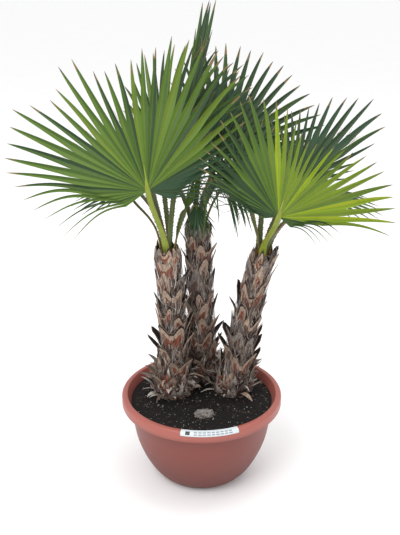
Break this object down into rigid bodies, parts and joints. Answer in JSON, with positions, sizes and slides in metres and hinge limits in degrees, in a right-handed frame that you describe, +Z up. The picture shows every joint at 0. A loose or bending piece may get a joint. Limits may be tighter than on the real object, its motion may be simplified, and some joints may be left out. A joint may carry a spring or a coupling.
{
  "type": "potted fan palm clump",
  "caption": "Clump of booted fan palm stems with pleated fan fronds on toothed stalks, growing in a round rimmed plastic bowl of soil.",
  "frame": {"origin": "centre of the bowl's flat underside", "axes": "+Z up, -Y towards the side from which the two great fans face the viewer, +X to that viewer's right"},
  "size_m": [1.1368, 0.7828, 1.4425],
  "materials": {
    "terracotta_plastic": "satin",
    "potting_soil": "matte",
    "booted_bark": "matte",
    "frond_green": "satin",
    "old_fibre": "matte",
    "label_paper": "satin"
  },
  "bodies": {
    "root": {"bowl": "terracotta_plastic", "soil": "potting_soil", "fibre_lump": "old_fibre", "label_strip": "label_paper", "left_stem": "booted_bark", "middle_stem": "booted_bark", "right_stem": "booted_bark", "left_front_frond": "frond_green", "right_front_frond": "frond_green", "left_spear_frond": "frond_green", "left_upper_frond": "frond_green", "left_side_frond": "frond_green", "left_inner_frond": "frond_green", "middle_right_frond": "frond_green", "middle_upper_frond": "frond_green", "middle_side_frond": "frond_green", "middle_low_frond": "frond_green", "right_back_frond": "frond_green", "right_inner_frond": "frond_green", "right_side_frond": "frond_green", "middle_hanging_frond": "frond_green", "left_far_frond_1": "frond_green", "left_far_frond_2": "frond_green", "middle_far_frond_1": "frond_green", "middle_far_frond_2": "frond_green", "middle_far_frond_3": "frond_green", "right_far_frond_1": "frond_green", "right_far_frond_2": "frond_green"}
  },
  "joints": []
}
